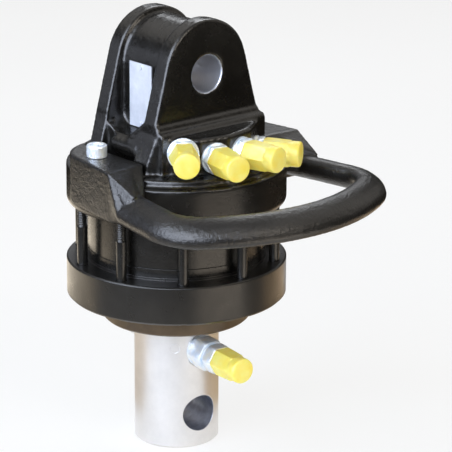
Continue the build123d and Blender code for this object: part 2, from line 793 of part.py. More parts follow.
def make_passage_plugs():
    """Two plugs that close the oil passages at the top of the journal."""
    plugs = []
    for turn in (shaft_turn, shaft_turn + full_turn / 2):
        foot = at_circle(passage_offset, turn - 90)
        bottom = journal_top_z - passage_plug_length
        plugs.append(cylinder_between(passage_diameter / 2 - running_fit, bottom, journal_top_z, foot))
    return group(plugs)


def rotor_top_z():
    """Level of the rotor's upper face, a turning gap below the disc."""
    return disc_bottom_z - turning_gap


def make_rotor():
    """Rotor, splined on the shaft and slotted for the vanes."""
    bottom = stator_bottom_z + turning_gap
    height = rotor_top_z() - bottom
    outline = Circle(rotor_radius) - spline_outline(thread_fit)
    for k in range(vane_count):
        slot = Pos(rotor_radius, 0) * Rectangle(2 * slot_depth, vane_thickness + 2 * running_fit)
        outline -= Rot(0, 0, full_turn / vane_count * k) * slot
    return Pos(0, 0, bottom) * extrude(outline, height)


def vane_height():
    """Height of a vane, with a turning gap at each end."""
    return stator_height - 4 * turning_gap


def make_vanes():
    """Vanes in the rotor's slots, drawn back inside the small radius of the cam."""
    tip = rotor_radius + vane_stand_out
    middle_z = (disc_bottom_z + stator_bottom_z) / 2
    vane = Pos(tip - vane_length / 2, 0, middle_z) * Box(vane_length, vane_thickness, vane_height())
    tip_edges = vane.faces().sort_by(Axis.X)[-1].edges().filter_by(Axis.Z)
    vane = fillet(tip_edges, vane_thickness / 4)
    return group([Rot(0, 0, full_turn / vane_count * k) * vane for k in range(vane_count)])


def make_vane_springs():
    """Bowed leaf spring under each vane."""
    floor = rotor_radius - slot_depth + running_fit
    crown = rotor_radius + vane_stand_out - vane_length - running_fit
    reach = vane_height() / 2 - vane_spring_end_gap
    lifted = floor + vane_spring_thickness
    outer = ThreePointArc((lifted, -reach), (crown, 0), (lifted, reach))
    inner = ThreePointArc((floor, -reach), (crown - vane_spring_thickness, 0), (floor, reach))
    ends = [Line((floor, way * reach), (lifted, way * reach)) for way in (-1, 1)]
    leaf = across_y(make_face([outer, inner] + ends), -vane_spring_width / 2, vane_spring_width / 2)
    leaf = Pos(0, 0, (disc_bottom_z + stator_bottom_z) / 2) * leaf
    return group([Rot(0, 0, full_turn / vane_count * k) * leaf for k in range(vane_count)])


def roller_level():
    """Level of the rollers' axes."""
    return recess_floor_z + race_thickness + roller_diameter / 2


def make_lower_race():
    """Race on the floor of the base ring's recess."""
    top = recess_floor_z + race_thickness
    return ring_between(race_outer_radius, race_inner_radius, recess_floor_z, top)


def make_upper_race():
    """Race under the shaft's collar."""
    bottom = collar_bottom_z - race_thickness
    return ring_between(race_outer_radius, race_inner_radius, bottom, collar_bottom_z)


def make_bearing_rollers():
    """Rollers that lie on the lower race, pointing outward."""
    roller = Pos(roller_circle, 0, roller_level()) * Rot(0, 90, 0) * Cylinder(
        roller_diameter / 2 - running_fit, roller_length)
    return group([Rot(0, 0, full_turn / roller_count * k) * roller for k in range(roller_count)])


def make_bearing_cage():
    """Cage with a pocket for each roller."""
    low = roller_level() - cage_thickness / 2
    reach = roller_length / 2 + cage_rim
    cage = ring_between(roller_circle + reach, roller_circle - reach, low, low + cage_thickness)
    pocket = Pos(roller_circle, 0, roller_level()) * Box(
        roller_length + 2 * thread_fit, roller_diameter + 2 * thread_fit, 2 * cage_thickness)
    for k in range(roller_count):
        cage -= Rot(0, 0, full_turn / roller_count * k) * pocket
    return cage


def make_thrust_washer():
    """Washer between the lower plate and the shaft's collar."""
    return ring_between(thrust_washer_outer, shaft_radius + 3 * free_gap,
                        plate_bottom - thrust_washer_thickness, plate_bottom)


def make_upper_bush():
    """Bush in the disc, round the journal."""
    return ring_between(upper_bush_outer, journal_radius + running_fit, disc_bottom_z,
                        disc_bottom_z + upper_bush_length)


def make_lower_bush():
    """Bush in the base ring, round the shaft below the bearing."""
    return ring_between(lower_bush_outer, shaft_radius + running_fit, recess_floor_z - lower_bush_length,
                        recess_floor_z)


def make_swivel_seals():
    """Two seals in the casting's bore, one below each oil groove."""
    height = swivel_seal_height - 2 * running_fit
    outer = journal_radius + swivel_seal_depth - running_fit
    inner = journal_radius + running_fit
    return group([ring_between(outer, inner, z - height / 2, z + height / 2) for z in swivel_seal_levels()])


def make_shaft_seal():
    """Lip seal in the neck, open upward."""
    inner = shaft_radius + running_fit
    bottom = neck_bottom_z + wiper_height
    top = seal_top_z()
    wall = shaft_seal_wall
    return turned([(inner, bottom), (shaft_seal_outer, bottom), (shaft_seal_outer, top),
                   (shaft_seal_outer - wall, top), (shaft_seal_outer - wall, bottom + wall),
                   (inner + 2 * wall, bottom + wall), (inner + wall, top - running_fit),
                   (inner, top - running_fit)])


def make_wiper():
    """Wiper ring that closes the seal pocket at the bottom of the neck."""
    inner = shaft_radius + running_fit
    bottom = neck_bottom_z
    top = bottom + wiper_height
    half = wiper_height / 2
    return turned([(inner, bottom), (inner + half, bottom), (inner + wiper_height, bottom + half),
                   (shaft_seal_outer, bottom + half), (shaft_seal_outer, top), (inner, top)])


def make_washer():
    """Sealing washer of a port fitting, standing on Z = 0."""
    return cylinder_between(washer_outer_diameter / 2, 0, washer_thickness) - cylinder_between(
        port_thread_diameter / 2 + thread_fit, -1, washer_thickness + 1)


def make_adapter(body_hex, body_length, neck, second_length):
    """Hex adapter: thread below Z = 0, one or two hexagons and a stem for the hose."""
    start = washer_thickness
    end = start + body_length
    adapter = cylinder_between(port_thread_diameter / 2, -port_thread_length, start)
    adapter += hexagon(body_hex, start, end, hex_bevel)
    if neck:
        adapter += cylinder_between(shaft_body_neck_diameter / 2, end, end + neck)
        adapter += hexagon(adapter_hex, end + neck, end + neck + second_length, hex_bevel)
        end += neck + second_length
    adapter += cylinder_between(adapter_stem_diameter / 2, end, end + adapter_stem_length)
    adapter -= cylinder_between(adapter_bore / 2, -port_thread_length - 1, end + adapter_stem_length + 1)
    return adapter, end


def make_cap():
    """Push-on cap with a hexagonal skirt and a round closed end, standing on Z = 0."""
    cap = hexagon(cap_hex, 0, cap_hex_length, hex_bevel)
    cap += cylinder_between(cap_end_diameter / 2, 0, cap_length)
    bore = adapter_stem_diameter / 2 + running_fit
    return cap - cylinder_between(bore, -1, adapter_stem_length + thread_fit)


def port_nodes():
    """Washer, adapter and cap of every port, each in its place."""
    nodes = {}
    adapter, seat = make_adapter(adapter_hex, adapter_hex_length, 0, 0)
    for index, height in enumerate(port_heights):
        place = radial(port_turn(index), height, facet_distance)
        nodes[f"port_washer_{index + 1}"] = place * make_washer()
        nodes[f"port_adapter_{index + 1}"] = place * adapter
        nodes[f"port_cap_{index + 1}"] = place * Pos(0, 0, seat) * make_cap()
    long_adapter, far_seat = make_adapter(shaft_body_hex, shaft_body_length, shaft_body_neck,
                                          shaft_second_hex_length)
    for index, turn in enumerate((shaft_turn, shaft_turn + full_turn / 2)):
        place = radial(turn, shaft_port_z, spot_face_radius)
        nodes[f"shaft_washer_{index + 1}"] = place * make_washer()
        nodes[f"shaft_adapter_{index + 1}"] = place * long_adapter
        nodes[f"shaft_cap_{index + 1}"] = place * Pos(0, 0, far_seat) * make_cap()
    return nodes


def plate_plane():
    """Plane on the left side of the web, facing outward, with its Y axis up."""
    return Plane(origin=(-web_radius, 0, 0), x_dir=(0, -1, 0), z_dir=(-1, 0, 0))


def rivet_levels():
    """Heights of the two rivets."""
    return (plate_top_z - rivet_edge, plate_bottom_z + rivet_edge)


def make_blank_plate():
    """Bare plate on the left side of the web."""
    middle = (plate_top_z + plate_bottom_z) / 2
    plate = plate_plane() * Pos(0, middle, plate_thickness / 2) * Box(
        plate_width, plate_top_z - plate_bottom_z, plate_thickness)
    for level in rivet_levels():
        plate -= plate_plane() * Pos(0, level, 0) * Cylinder(rivet_hole / 2, 4 * plate_thickness)
    return plate


def make_plate_rivets():
    """Rivets through the blank plate into the web."""
    rivets = []
    for level in rivet_levels():
        stem_low = plate_thickness - rivet_length
        rivet = Pos(0, level, (stem_low + plate_thickness) / 2) * Cylinder(rivet_diameter / 2, rivet_length)
        rivet += Pos(0, level, plate_thickness + rivet_head_height / 2) * Cylinder(
            rivet_head_diameter / 2, rivet_head_height)
        rivets.append(plate_plane() * rivet)
    return group(rivets)


def drill_for_rivets(head):
    """Holes for the rivets in the web."""
    for level in rivet_levels():
        head -= plate_plane() * Pos(0, level, 0) * Cylinder(rivet_hole / 2, 2 * rivet_length)
    return head


nodes = {
    "head_casting": drill_for_rivets(make_head_casting()),
    "blank_plate": make_blank_plate(),
    "plate_rivets": make_plate_rivets(),
    "hose_guard": make_hose_guard(),
    "guard_screws": make_guard_screws(),
    "stator_ring": make_stator_ring(),
    "stator_o_rings": make_o_rings(),
    "lower_plate": make_lower_plate(),
    "base_ring": make_base_ring(),
    "tie_bolts": make_tie_bolts(),
    "dowel_pins": make_dowel_pins(),
    "shaft": make_shaft(),
    "shaft_side_plugs": make_shaft_side_plugs(),
    "passage_plugs": make_passage_plugs(),
    "rotor": make_rotor(),
    "vanes": make_vanes(),
    "vane_springs": make_vane_springs(),
    "lower_race": make_lower_race(),
    "upper_race": make_upper_race(),
    "bearing_rollers": make_bearing_rollers(),
    "bearing_cage": make_bearing_cage(),
    "thrust_washer": make_thrust_washer(),
    "upper_bush": make_upper_bush(),
    "lower_bush": make_lower_bush(),
    "swivel_seals": make_swivel_seals(),
    "shaft_seal": make_shaft_seal(),
    "wiper_ring": make_wiper(),
}
nodes.update(port_nodes())

os.makedirs("parts", exist_ok=True)
for name, shape in nodes.items():
    export_step(shape, f"parts/{name}.step")
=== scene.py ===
import json
from math import cos, hypot, pi, radians, sin

import bmesh
import bpy
import numpy as np
from mathutils import Matrix, Vector, noise


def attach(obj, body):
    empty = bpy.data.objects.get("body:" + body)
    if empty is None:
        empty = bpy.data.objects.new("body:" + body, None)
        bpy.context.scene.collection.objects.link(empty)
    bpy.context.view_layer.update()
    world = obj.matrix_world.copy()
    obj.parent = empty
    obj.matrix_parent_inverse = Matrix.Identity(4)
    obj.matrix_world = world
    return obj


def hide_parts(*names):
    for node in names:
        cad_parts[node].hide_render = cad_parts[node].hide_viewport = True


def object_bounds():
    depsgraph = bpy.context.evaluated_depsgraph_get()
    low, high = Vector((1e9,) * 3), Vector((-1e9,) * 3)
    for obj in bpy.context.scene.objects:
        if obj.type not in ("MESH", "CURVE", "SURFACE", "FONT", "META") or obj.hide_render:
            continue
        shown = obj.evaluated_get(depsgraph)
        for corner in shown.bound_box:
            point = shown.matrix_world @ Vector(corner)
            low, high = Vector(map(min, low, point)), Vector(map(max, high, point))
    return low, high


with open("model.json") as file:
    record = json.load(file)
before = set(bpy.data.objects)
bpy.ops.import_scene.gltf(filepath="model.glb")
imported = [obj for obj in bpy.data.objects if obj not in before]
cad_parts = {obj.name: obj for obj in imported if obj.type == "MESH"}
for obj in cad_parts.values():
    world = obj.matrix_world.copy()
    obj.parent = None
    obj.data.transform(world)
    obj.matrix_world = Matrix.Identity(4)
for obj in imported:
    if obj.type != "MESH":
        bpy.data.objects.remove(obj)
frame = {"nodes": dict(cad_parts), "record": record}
cad_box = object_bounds()
nodes = frame["nodes"]

# Camera, in metres and degrees, at the photograph's viewpoint
camera_place = Vector((-1.2446, -1.5021, 0.4948))
camera_target = Vector((0.0278, -0.0287, -0.1323))
camera_roll = 0.378
camera_lens = 202.46
camera_clip = 50
sensor_width = 36.0

# World for diffuse light alone; the camera, metal and glass see it white
room_light = (0.40, 0.39, 0.37)

# Lamps: name, angle right of the camera, distance, height, size, watts and colour
lamps = [
    ("lamp_front", -14, 1.35, 0.70, (0.8, 0.4), 6, (0.78, 0.87, 1.0)),
    ("lamp_front_left", -46, 1.5, 0.14, (0.8, 0.5), 9, (0.66, 0.78, 1.0)),
    ("lamp_high_left", -62, 1.0, 0.95, (0.9, 0.7), 9, (0.64, 0.78, 1.0)),
    ("lamp_right", 46, 1.5, 0.55, (0.4, 0.8), 7, (1.0, 0.97, 0.92)),
    ("lamp_back", 172, 1.3, 0.9, (0.7, 0.5), 6, (0.9, 0.94, 1.0)),
]
lamp_target = (0, 0, -0.12)

# Light that comes from the studio cards, which are seen in reflections alone
dark = (0.022, 0.018, 0.013)
brown = (0.58, 0.44, 0.28)
brown_glow = (2.4, 1.8, 1.2)
cream = (0.66, 0.57, 0.46)
cream_glow = (2.7, 2.4, 1.95)
warm_glow = (3.2, 3.0, 2.75)
sky = (0.75, 0.81, 0.98)
low_window = (5.0, 5.8, 7.6)
high_window = (6.0, 7.0, 9.2)
pale = (0.80, 0.78, 0.75)
dusk = (0.50, 0.51, 0.54)

# Heights of the cards that lie on the floor, and of the foot and top of the low walls
lying, wall_foot, wall_top = -0.309, -0.312, -0.06

# Cards: first and last angle right of the camera, (distance, height) of both edges, and light
cards = [
    (-180, 180, (1.9, -0.27), (1.9, 1.35), dark),
    (-84, 18, (0.55, wall_foot), (0.55, wall_top), dark),
    (67, 178, (0.52, wall_foot), (0.52, wall_top), dark),
    (18, 67, (0.74, wall_foot), (0.74, wall_top), dark),
    (-182, -84, (0.64, wall_foot), (0.64, wall_top), dark),
    (72, 150, (0.08, lying), (0.40, lying), brown),
    (95, 140, (0.40, lying), (0.52, lying), brown_glow),
    (-182, -84, (0.08, lying), (0.38, lying), cream),
    (-182, -84, (0.38, lying), (0.64, lying), cream_glow),
    (20, 66, (0.38, lying), (0.74, lying), warm_glow),
    (-122, -84, (1.85, -0.10), (1.85, 0.65), sky),
    (-74, -2, (1.85, -0.14), (1.85, 0.46), low_window),
    (-84, 12, (1.85, 0.46), (1.45, 1.30), high_window),
    (84, 140, (1.85, 0.15), (1.85, 1.30), pale),
    (-180, -130, (1.85, 0.20), (1.85, 0.95), dusk),
]
card_steps = 24
roof_height = 2.3
roof_reach = 1.6
roof_corners = (-30, 60, 150, 240)

# Floor: half its width, and the share of it that shines by itself where it is seen, so that
# the rest keeps the object's shadow
floor_half = 6.0
floor_glow_share = 0.75

# Tint of the paint's shine, and the darker share in patchy colours
warm = (1.0, 0.93, 0.84)
patch_shade = 0.85

# Height where the base ring's colour starts to turn brown, and where it is fully brown, in metres
browning_z, brown_z = -0.1865, -0.1895

# Castings: size of the remesh in metres, counts of smoothing, and the coarse and fine grain of
# the skin, each as cells per metre and height in metres
head_voxel, head_rounds = 0.00115, (1, 7)
head_grain = ((150, 0.00012), (430, 0.00012))
guard_voxel, guard_rounds = 0.0010, (4,)
guard_grain = ((110, 0.00012), (520, 0.00022))

# Machined parts of the head, in metres: top of the disc without skin, height below which the
# first count of smoothing holds and the fade above it, and radii without skin and without paint
head_machined_z = -0.0708
head_crisp_z = -0.0715
crisp_fade = 0.002
bore_machined_radius = 0.0175
bore_face_radius = 0.0157

# Turned cylinders of the head, in metres: two axes across and one along, radius, both ends,
# and how far from the radius a point may lie to be brought back to it
head_cylinders = [((0, 1, 2), 0.0882, -0.1052, -0.0790, 0.0008),
                  ((0, 2, 1), 0.0150, -0.0365, 0.0365, 0.0009)]

# Fills at the feet of the ears and of the block's flanks: (y, z) outline and inner x, in mm
ear_foot = [(22.5, -28), (37.5, -28), (37.5, -72.5), (22.5, -72.5)]
ear_foot_inner = 38
flank_foot = [(-37.4, -33), (-22.6, -33), (-6.5, -46.5), (-20.5, -57), (-23, -66), (-37, -72.5),
              (-41.3, -41)]
flank_foot_inner = 40

# Sloped sides that the fills follow: half width at a height in mm, slope, inset and limit
ear_half_width, ear_top, ear_slope = 42.28, 2.6, 0.2717
ear_inset, ear_limit = 0.25, 61.2
flank_half_width, flank_top, flank_slope = 52.2, -34, 0.12

# Corners of the facet between each boss of the guard and its arm, in mm
ramp_facet = [(97.6, -36.3, -62.6), (94.3, -64.3, -76.2), (98.9, -57.9, -82.8),
              (99.4, -41.4, -74.0), (82.5, -57.1, -78.8), (75.0, -35.4, -63.2),
              (86.0, -38.0, -90.0), (90.0, -52.0, -90.0)]

# Places of the fittings and screws, in mm and degrees, as in the CAD part
facet_pitch = 23.5
port_heights = (-54.3, -60.0, -60.0, -65.8)
shaft_turn = -5.0
shaft_port_height = -230.0
guard_screw_x = 76.7
guard_screw_y = 5.0
tie_bolt_count = 10
tie_bolt_circle = 80.6
first_bolt_turn = -90

# The shaft's cross bore, in metres
cross_bore_z = -0.2843
cross_bore_radius = 0.0152

# Outlines in mm: of an adapter's stem, (along, radius), and of a cap, (along, half across
# flats, limit), which has a rim, a hexagonal grip, a shoulder and a round end
stem_outline = [(0.0, 7.2), (1.0, 8.5), (22.6, 8.5), (24.0, 7.4)]
cap_outline = [
    (0.0, 8.6, 8.6), (0.0, 10.1, 11.2), (0.4, 10.35, 11.8), (1.0, 10.4, 12.1), (6.0, 10.3, 12.0),
    (19.6, 9.75, 11.5), (20.6, 9.75, 11.1), (21.2, 9.9, 10.4), (21.7, 10.2, 10.2),
    (22.6, 10.3, 10.3), (27.8, 10.25, 10.25), (28.7, 10.05, 10.05), (29.2, 9.7, 9.7),
    (29.5, 9.1, 9.1), (29.5, 5.0, 5.0), (29.5, 0.6, 0.6),
]

# Hexagons: how far the corners are cut back, and the inset and length of the turned-down ends
corner_cut = 0.25
end_inset = 0.3
end_step = 0.05

# Grip of the guard's screws and thread of the tie bolts, in mm
knurl_low, knurl_high = -61.3, -53.9
knurl_inner = 7.9
knurl_height = 0.14
knurl_teeth = 56
thread_low, thread_high = -123.0, -96.0
thread_radius = 3.8
thread_pitch = 1.5
thread_height = 0.5
thread_steps = 6

# Points round each kind of spun piece, sharpness of the hexagons' corners, and the angle in
# degrees from which an edge is shaded sharp
adapter_steps = 60
cap_steps = 72
screw_steps = 224
bolt_steps = 40
hex_sharpness = 70
sharp_angle = 38.0


def make_camera():
    """Camera with the photograph's place, direction and lens."""
    forward = (camera_target - camera_place).normalized()
    right = forward.cross(Vector((0, 0, 1))).normalized()
    up = right.cross(forward)
    roll = radians(camera_roll)
    right, up = right * cos(roll) + up * sin(roll), up * cos(roll) - right * sin(roll)
    data = bpy.data.cameras.new("camera")
    data.lens = camera_lens
    data.sensor_width = sensor_width
    data.clip_end = camera_clip
    camera = bpy.data.objects.new("camera", data)
    turn = Matrix((right, up, -forward)).transposed().to_4x4()
    camera.matrix_world = Matrix.Translation(camera_place) @ turn
    bpy.context.scene.collection.objects.link(camera)
    bpy.context.scene.camera = camera


class Finish:
    """A node material under construction."""

    def __init__(self, name):
        self.material = bpy.data.materials.new(name)
        self.material.use_nodes = True
        self.tree = self.material.node_tree
        self.shader = self.tree.nodes["Principled BSDF"]

    def set(self, **values):
        """Set sockets of the shader by name, with spaces written as underscores."""
        for name, value in values.items():
            self.shader.inputs[name.replace("_", " ")].default_value = value

    def add(self, kind, inputs=None, **settings):
        """Add a node, set its properties, and set or link its inputs."""
        node = self.tree.nodes.new("ShaderNode" + kind)
        for name, value in settings.items():
            setattr(node, name, value)
        for name, value in (inputs or {}).items():
            if isinstance(value, bpy.types.NodeSocket):
                self.tree.links.new(value, node.inputs[name])
            else:
                node.inputs[name].default_value = value
        return node

    def link(self, output, name):
        """Feed one of the shader's sockets."""
        self.tree.links.new(output, self.shader.inputs[name])

    def show(self, output):
        """Let another shader than the first one be the surface."""
        self.tree.links.new(output, self.tree.nodes["Material Output"].inputs["Surface"])

    def place(self):
        """Object coordinates, which are the frame's own metres."""
        return self.add("TexCoord").outputs["Object"]

    def stretched(self, x, y, z):
        """Object coordinates scaled along each axis."""
        return self.add("Mapping", {"Vector": self.place(), "Scale": (x, y, z)}).outputs["Vector"]

    def noise(self, scale, detail=2.0, rough=0.5, where=None):
        """Noise whose scale is in cells per metre."""
        inputs = {"Vector": where or self.place(), "Scale": scale, "Detail": detail,
                  "Roughness": rough}
        return self.add("TexNoise", inputs).outputs["Fac"]

    def ramp(self, factor, stops):
        """Colour ramp over a factor, from (position, colour) stops."""
        node = self.add("ValToRGB", {"Fac": factor})
        ramp = node.color_ramp
        while len(ramp.elements) < len(stops):
            ramp.elements.new(0.5)
        for element, (position, colour) in zip(ramp.elements, stops):
            element.position = position
            element.color = (*colour, 1)
        return node.outputs["Color"]

    def spread(self, factor, low, high):
        """Map a factor of 0 to 1 to a range."""
        inputs = {"Value": factor, "To Min": low, "To Max": high}
        return self.add("MapRange", inputs).outputs["Result"]

    def math(self, operation, first, second):
        """Result of a sum on two values or sockets."""
        return self.add("Math", {0: first, 1: second}, operation=operation).outputs["Value"]

    def blend(self, factor, first, second):
        """Mix of two colours' sockets."""
        mix = self.add("Mix", {"Factor": factor}, data_type="RGBA")
        self.tree.links.new(first, mix.inputs[6])
        self.tree.links.new(second, mix.inputs[7])
        return mix.outputs[2]

    def softened(self, radius):
        """Rounded edges for the light."""
        return self.add("Bevel", {"Radius": radius}, samples=8).outputs["Normal"]

    def bump(self, height, distance, under):
        """Bump from a height in metres, over rounded edges or another bump."""
        inputs = {"Height": height, "Distance": distance, "Strength": 1.0, "Normal": under}
        return self.add("Bump", inputs).outputs["Normal"]


def black_enamel(name, patch_tone, thick, roughness, peel, cast, edge):
    """Black paint: thin and thick patches, an orange peel, the casting's skin and soft edges.

    peel and cast are (cells per metre, height in metres)."""
    f = Finish(name)
    patches = f.noise(34, detail=4, rough=0.6)
    f.link(f.ramp(patches, [(0.32, patch_tone), (0.72, thick)]), "Base Color")
    f.link(f.spread(f.noise(95, detail=4, rough=0.6), *roughness), "Roughness")
    normal = f.softened(edge)
    normal = f.bump(f.noise(cast[0], detail=4, rough=0.62), cast[1], normal)
    f.link(f.bump(f.noise(peel[0]), peel[1], normal), "Normal")
    f.set(Specular_IOR_Level=0.5, Specular_Tint=(*warm, 1))
    return f.material


def base_enamel(name):
    """Black paint of the base ring, turning brown below a height, on its neck and under its rim."""
    f = Finish(name)
    height = f.add("SeparateXYZ", {"Vector": f.place()}).outputs["Z"]
    wander = f.spread(f.noise(60, detail=3), -0.0015, 0.0015)
    height = f.math("ADD", height, wander)
    inputs = {"Value": height, "From Min": browning_z, "From Max": brown_z}
    low = f.add("MapRange", inputs, clamp=True).outputs["Result"]
    thick = f.ramp(f.noise(34, detail=4, rough=0.6),
                   [(0.32, (0.0035, 0.0032, 0.0028)), (0.72, (0.011, 0.0095, 0.0075))])
    # Brown colour that takes over below the height, on the neck and under the rim
    patch_tone = f.ramp(f.noise(50, detail=4, rough=0.6),
                  [(0.32, (0.070, 0.042, 0.018)), (0.72, (0.120, 0.075, 0.036))])
    f.link(f.blend(low, thick, patch_tone), "Base Color")
    f.link(f.spread(f.noise(95, detail=4, rough=0.6), 0.22, 0.38), "Roughness")
    normal = f.bump(f.noise(620, detail=3), 0.00008, f.softened(0.0011))
    f.link(f.bump(f.noise(1300), 0.00003, normal), "Normal")
    f.set(Specular_Tint=(*warm, 1))
    return f.material


def zinc(name):
    """Bright zinc plating with blue and straw tints."""
    f = Finish(name)
    tints = [(0.34, (0.78, 0.86, 0.94)), (0.5, (0.90, 0.93, 0.95)), (0.68, (0.93, 0.91, 0.80))]
    f.link(f.ramp(f.noise(150, detail=3), tints), "Base Color")
    f.link(f.spread(f.noise(420, detail=3), 0.28, 0.44), "Roughness")
    f.link(f.bump(f.noise(1500), 0.00003, f.softened(0.0006)), "Normal")
    f.set(Metallic=0.55)
    return f.material


def near_bore(f, turn, height, radius):
    """1 inside a radius round a level bore's axis and 0 outside: turn from the front, metres."""
    side = (cos(radians(turn)), sin(radians(turn)), 0)
    inputs = {0: f.place(), 1: side}
    across = f.add("VectorMath", inputs, operation="DOT_PRODUCT").outputs["Value"]
    up = f.add("SeparateXYZ", {"Vector": f.place()}).outputs["Z"]
    up = f.math("SUBTRACT", up, height)
    flat = f.add("CombineXYZ", {"X": across, "Y": up}).outputs["Vector"]
    span = f.add("VectorMath", {0: flat}, operation="LENGTH").outputs["Value"]
    return f.math("LESS_THAN", span, radius)


def turned_steel(name, colour, marks):
    """Turned and ground steel: fine rings round the axis, faint stains and a dull cross bore."""
    f = Finish(name)
    rings = f.noise(34, detail=4, rough=0.6, where=f.stretched(1, 1, 70))
    light = tuple(min(1, c * 1.06) for c in colour)
    dull = tuple(c * (1 - marks) for c in colour)
    ground = f.ramp(f.noise(22, detail=5, rough=0.6), [(0.28, dull), (0.62, light)])
    drilled = f.ramp(f.noise(160, detail=3), [(0.3, (0.38, 0.39, 0.44)), (0.7, (0.58, 0.60, 0.66))])
    inside = near_bore(f, shaft_turn, cross_bore_z, cross_bore_radius)
    f.link(f.blend(inside, ground, drilled), "Base Color")
    f.link(f.spread(rings, 0.30, 0.46), "Roughness")
    f.link(f.bump(rings, 0.00003, f.softened(0.0009)), "Normal")
    f.set(Metallic=1.0)
    return f.material


def yellow_plastic_painted_glow(name):
    """Soft yellow plastic; a faint painted orange glow tints its shading, as light through it
    would.
    """
    f = Finish(name)
    tints = [(0.3, (0.93, 0.76, 0.10)), (0.7, (0.94, 0.86, 0.24))]
    f.link(f.ramp(f.noise(110, detail=3), tints), "Base Color")
    f.link(f.spread(f.noise(260), 0.28, 0.42), "Roughness")
    f.link(f.bump(f.noise(900), 0.00004, f.softened(0.0009)), "Normal")
    # The orange emission is a painted glow that warms the shaded sides of the caps
    f.set(Subsurface_Weight=0.25, Subsurface_Scale=0.003, Subsurface_Radius=(1.0, 0.55, 0.1),
          Emission_Color=(1.0, 0.62, 0.08, 1), Emission_Strength=0.09)
    return f.material


def bare_plate(name):
    """Bare silvery plate with a faint grain and dull smudges."""
    f = Finish(name)
    grain = f.noise(60, detail=3, where=f.stretched(1, 30, 1))
    smudges = [(0.3, (0.58, 0.59, 0.64)), (0.7, (0.76, 0.77, 0.82))]
    f.link(f.ramp(f.noise(75, detail=4, rough=0.6), smudges), "Base Color")
    f.link(f.spread(grain, 0.38, 0.55), "Roughness")
    f.link(f.bump(grain, 0.00001, f.softened(0.0004)), "Normal")
    f.set(Metallic=0.15)
    return f.material


def plain(name, colour, metallic, roughness):
    """Faintly patchy finish of bores and inner pieces."""
    f = Finish(name)
    shade = tuple(c * patch_shade for c in colour)
    f.link(f.ramp(f.noise(90, detail=3), [(0.3, shade), (0.7, colour)]), "Base Color")
    patches = f.noise(200, detail=3)
    f.link(f.spread(patches, roughness - 0.06, roughness + 0.06), "Roughness")
    f.set(Metallic=metallic)
    return f.material


def make_world():
    """White for the camera and in metal and glass, an even soft light for the rest."""
    world = bpy.data.worlds.new("room")
    bpy.context.scene.world = world
    world.use_nodes = True
    nodes_of, links = world.node_tree.nodes, world.node_tree.links
    nodes_of.clear()
    path = nodes_of.new("ShaderNodeLightPath")
    seen = path.outputs["Is Camera Ray"]
    for ray in ("Is Glossy Ray", "Is Transmission Ray"):
        either = nodes_of.new("ShaderNodeMath")
        either.operation = "MAXIMUM"
        links.new(seen, either.inputs[0])
        links.new(path.outputs[ray], either.inputs[1])
        seen = either.outputs["Value"]
    mix = nodes_of.new("ShaderNodeMixShader")
    links.new(seen, mix.inputs[0])
    for slot, colour in ((1, room_light), (2, (1, 1, 1))):
        back = nodes_of.new("ShaderNodeBackground")
        back.inputs["Color"].default_value = (*colour, 1)
        links.new(back.outputs["Background"], mix.inputs[slot])
    out = nodes_of.new("ShaderNodeOutputWorld")
    links.new(mix.outputs["Shader"], out.inputs["Surface"])


def around(angle, distance, height):
    """Point at an angle to the right of the camera's side of the object, in metres."""
    heading = Vector((camera_place.x, camera_place.y)).normalized()
    turn = radians(angle)
    x = heading.x * cos(turn) - heading.y * sin(turn)
    y = heading.x * sin(turn) + heading.y * cos(turn)
    return (x * distance, y * distance, height)


def make_lights():
    """Large soft lamps of a plain studio."""
    for name, angle, distance, height, size, power, colour in lamps:
        data = bpy.data.lights.new(name, "AREA")
        data.shape = "RECTANGLE"
        data.size, data.size_y = size
        data.energy = power
        data.color = colour
        lamp = bpy.data.objects.new(name, data)
        lamp.location = around(angle, distance, height)
        aim = Vector(lamp_target) - Vector(around(angle, distance, height))
        lamp.rotation_euler = aim.to_track_quat("-Z", "Y").to_euler()
        bpy.context.scene.collection.objects.link(lamp)


def stage_mesh(name, points, faces, material):
    """Piece of the studio."""
    mesh = bpy.data.meshes.new(name)
    mesh.from_pydata(points, [], faces)
    obj = bpy.data.objects.new(name, mesh)
    obj.data.materials.append(material)
    bpy.context.scene.collection.objects.link(obj)
    return obj


def card_finish(name, colour):
    """Surface that shines by itself in a slightly patchy colour."""
    f = Finish(name)
    shade = tuple(c * patch_shade for c in colour)
    colours = f.ramp(f.noise(4, detail=3), [(0.3, shade), (0.7, colour)])
    f.show(f.add("Emission", {"Color": colours}).outputs["Emission"])
    return f.material


def make_cards():
    """Coloured cards round the object, seen in its reflections alone."""
    finish_of = {}
    for *_, colour in cards:
        if colour not in finish_of:
            finish_of[colour] = card_finish(f"card_{len(finish_of)}", colour)
    walls = []
    for first, last, near, far, colour in cards:
        turns = [first + (last - first) * k / card_steps for k in range(card_steps + 1)]
        points = [around(turn, *edge) for turn in turns for edge in (near, far)]
        faces = [(2 * k, 2 * k + 2, 2 * k + 3, 2 * k + 1) for k in range(card_steps)]
        walls.append(stage_mesh(f"card_{len(walls)}", points, faces, finish_of[colour]))
    corners = [around(turn, roof_reach, roof_height) for turn in roof_corners]
    walls.append(stage_mesh("card_roof", corners, [(0, 1, 2, 3)], finish_of[dusk]))
    for wall in walls:
        wall.visible_camera = False
        wall.visible_diffuse = False
        wall.visible_shadow = False


